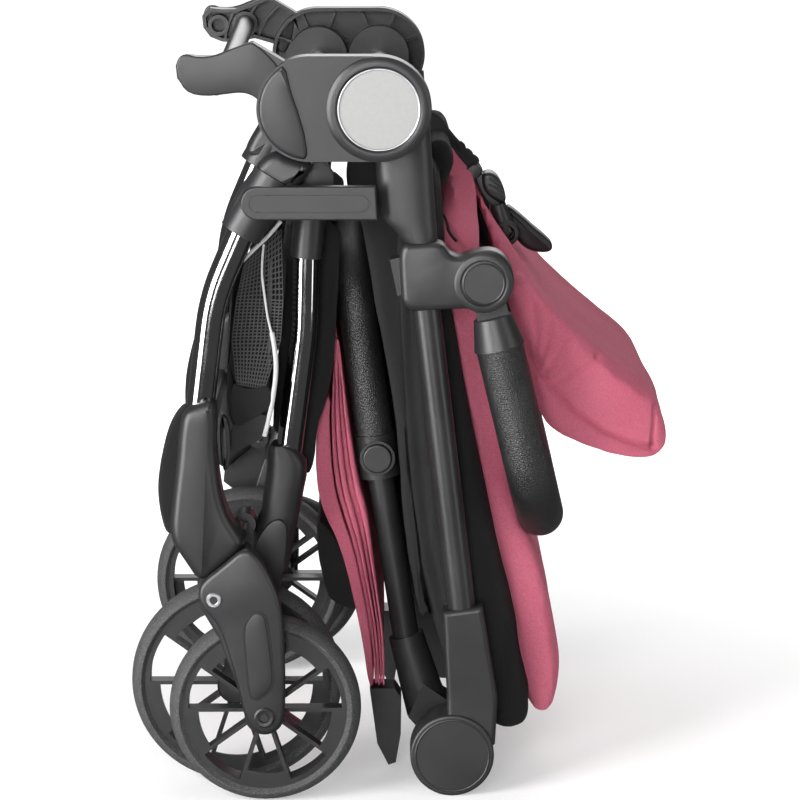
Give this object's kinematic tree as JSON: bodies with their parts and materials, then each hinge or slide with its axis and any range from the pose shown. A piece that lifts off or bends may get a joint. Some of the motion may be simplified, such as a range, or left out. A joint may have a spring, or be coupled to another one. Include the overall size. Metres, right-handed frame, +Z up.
{
  "type": "folded compact stroller",
  "caption": "Compact four-wheel stroller, folded upright, with swivelling front wheels, brakes, padded handle, bumper bar, soft seat and canopy; its coupled frame unfolds.",
  "frame": {"origin": "on the floor, in the middle of the folded stroller", "axes": "+Z up, -X towards the front of the stroller, -Y its left side"},
  "size_m": [0.425, 0.464, 0.595],
  "materials": {
    "charcoal_plastic": "satin",
    "black_plastic": "matte",
    "dark_tube": "satin",
    "steel": "satin",
    "silver_plate": "satin",
    "leatherette": "satin",
    "pink_fabric": "matte",
    "black_fabric": "matte",
    "webbing": "matte",
    "tyre": "matte",
    "rim_plastic": "satin"
  },
  "bodies": {
    "chassis": {"hinge_housing_left": "charcoal_plastic", "hinge_housing_right": "charcoal_plastic", "hinge_discs": "silver_plate", "seat_bracket_left": "charcoal_plastic", "seat_bracket_right": "charcoal_plastic", "seat_front_tube": "dark_tube", "hinge_axles": "steel"},
    "handle_lower": {"handle_sleeve_left": "charcoal_plastic", "handle_sleeve_right": "charcoal_plastic", "lower_tubes": "dark_tube", "fold_hinge_left": "charcoal_plastic", "fold_hinge_right": "charcoal_plastic", "fold_caps": "charcoal_plastic", "backrest_cushion": "pink_fabric", "backrest_panel": "black_fabric", "bumper_mount_left": "charcoal_plastic", "bumper_mount_right": "charcoal_plastic", "bumper_caps": "charcoal_plastic"},
    "release_lever_left": {"release_lever_left": "charcoal_plastic"},
    "release_lever_right": {"release_lever_right": "charcoal_plastic"},
    "handle_upper": {"fold_socket_left": "charcoal_plastic", "fold_socket_right": "charcoal_plastic", "upper_tubes": "dark_tube", "handle_collars": "charcoal_plastic", "handle_grip": "leatherette", "canopy_clips": "charcoal_plastic"},
    "handle_button_left": {"handle_button_left": "charcoal_plastic"},
    "handle_button_right": {"handle_button_right": "charcoal_plastic"},
    "canopy": {"canopy": "pink_fabric"},
    "bumper": {"bumper_collars": "charcoal_plastic", "bumper_bar": "leatherette"},
    "seat": {"seat_cushion": "pink_fabric", "harness_strap": "webbing", "harness_buckle": "black_plastic"},
    "front_frame": {"front_socket_left": "charcoal_plastic", "front_socket_right": "charcoal_plastic", "front_tubes": "dark_tube", "front_leg_left": "charcoal_plastic", "front_leg_right": "charcoal_plastic", "front_cross_bar": "dark_tube", "leg_link_left": "charcoal_plastic", "leg_link_right": "charcoal_plastic", "basket": "black_fabric"},
    "castor_left": {"castor_fork_left": "charcoal_plastic"},
    "castor_right": {"castor_fork_right": "charcoal_plastic"},
    "front_wheel_left": {"front_tyre_left": "tyre", "front_rim_left": "rim_plastic"},
    "front_wheel_right": {"front_tyre_right": "tyre", "front_rim_right": "rim_plastic"},
    "rear_frame": {"rear_collars": "charcoal_plastic", "rear_tubes": "dark_tube", "rear_boot_left": "charcoal_plastic", "rear_boot_right": "charcoal_plastic", "rear_cross_tube": "dark_tube"},
    "rear_wheel_left": {"rear_tyre_left": "tyre", "rear_rim_left": "rim_plastic"},
    "rear_wheel_right": {"rear_tyre_right": "tyre", "rear_rim_right": "rim_plastic"},
    "brake_left": {"brake_pedal_left": "charcoal_plastic"},
    "brake_right": {"brake_pedal_right": "charcoal_plastic"}
  },
  "joints": [
    {"name": "unfold", "type": "hinge", "parent": "chassis", "child": "handle_lower", "pos_m": [-0.0155, 0, 0.545], "axis": [0, -1, 0], "range_deg": [0, 128], "deforming": ["basket", "harness_strap"]},
    {"name": "front_fold", "type": "hinge", "parent": "chassis", "child": "front_frame", "pos_m": [-0.068, 0, 0.545], "axis": [0, 1, 0], "range_deg": [0, 41]},
    {"name": "rear_fold", "type": "hinge", "parent": "front_frame", "child": "rear_frame", "pos_m": [-0.0675, 0, 0.473], "axis": [0, -1, 0], "range_deg": [0, 97.3]},
    {"name": "handle_fold", "type": "hinge", "parent": "handle_lower", "child": "handle_upper", "pos_m": [0.0415, 0, 0.033], "axis": [0, -1, 0], "range_deg": [0, 178]},
    {"name": "bumper_fold", "type": "hinge", "parent": "handle_lower", "child": "bumper", "pos_m": [0.0645, 0, 0.41], "axis": [0, -1, 0], "range_deg": [0, 100]},
    {"name": "seat_fold", "type": "hinge", "parent": "handle_lower", "child": "seat", "pos_m": [0.0465, 0, 0.478], "axis": [0, -1, 0], "range_deg": [0, 84]},
    {"name": "canopy_fold", "type": "hinge", "parent": "handle_upper", "child": "canopy", "pos_m": [-0.0035, 0, 0.064], "axis": [0, -1, 0], "range_deg": [0, 95], "deforming": ["canopy"]},
    {"name": "castor_swivel_left", "type": "hinge", "parent": "front_frame", "child": "castor_left", "pos_m": [-0.136, -0.203, 0.191], "axis": [0.6561, 0, -0.7547], "range_deg": [-7, 7]},
    {"name": "front_wheel_spin_left", "type": "hinge", "parent": "castor_left", "child": "front_wheel_left", "pos_m": [-0.105, -0.203, 0.075], "axis": [0, 1, 0], "continuous": true},
    {"name": "rear_wheel_spin_left", "type": "hinge", "parent": "rear_frame", "child": "rear_wheel_left", "pos_m": [-0.129, -0.1565, 0.0835], "axis": [0, 1, 0], "continuous": true},
    {"name": "brake_press_left", "type": "hinge", "parent": "rear_frame", "child": "brake_left", "pos_m": [-0.1215, -0.1575, 0.213], "axis": [0, -1, 0], "range_deg": [0, 20], "stiffness_Nm_per_rad": 0.2},
    {"name": "fold_button_left", "type": "slide", "parent": "handle_upper", "child": "handle_button_left", "axis": [0, 1, 0], "range_m": [0, 0.003], "stiffness_N_per_m": 400},
    {"name": "bumper_release_left", "type": "slide", "parent": "handle_lower", "child": "release_lever_left", "axis": [0.1386, 0, -0.9903], "range_m": [0, 0.003], "stiffness_N_per_m": 400},
    {"name": "castor_swivel_right", "type": "hinge", "parent": "front_frame", "child": "castor_right", "pos_m": [-0.136, 0.203, 0.191], "axis": [0.6561, 0, -0.7547], "range_deg": [-7, 7]},
    {"name": "front_wheel_spin_right", "type": "hinge", "parent": "castor_right", "child": "front_wheel_right", "pos_m": [-0.105, 0.203, 0.075], "axis": [0, 1, 0], "continuous": true},
    {"name": "rear_wheel_spin_right", "type": "hinge", "parent": "rear_frame", "child": "rear_wheel_right", "pos_m": [-0.129, 0.1565, 0.0835], "axis": [0, 1, 0], "continuous": true},
    {"name": "brake_press_right", "type": "hinge", "parent": "rear_frame", "child": "brake_right", "pos_m": [-0.1215, 0.1575, 0.213], "axis": [0, -1, 0], "range_deg": [0, 20], "stiffness_Nm_per_rad": 0.2},
    {"name": "fold_button_right", "type": "slide", "parent": "handle_upper", "child": "handle_button_right", "axis": [0, -1, 0], "range_m": [0, 0.003], "stiffness_N_per_m": 400},
    {"name": "bumper_release_right", "type": "slide", "parent": "handle_lower", "child": "release_lever_right", "axis": [0.1386, 0, -0.9903], "range_m": [0, 0.003], "stiffness_N_per_m": 400}
  ],
  "couplings": [
    {"joint": "front_fold", "follows": "unfold", "ratio": 0.32031},
    {"joint": "rear_fold", "follows": "unfold", "ratio": 0.76016},
    {"joint": "handle_fold", "follows": "unfold", "ratio": 1.3906},
    {"joint": "bumper_fold", "follows": "unfold", "ratio": 0.78125},
    {"joint": "seat_fold", "follows": "unfold", "ratio": 0.65625},
    {"joint": "canopy_fold", "follows": "unfold", "ratio": 0.74219}
  ]
}
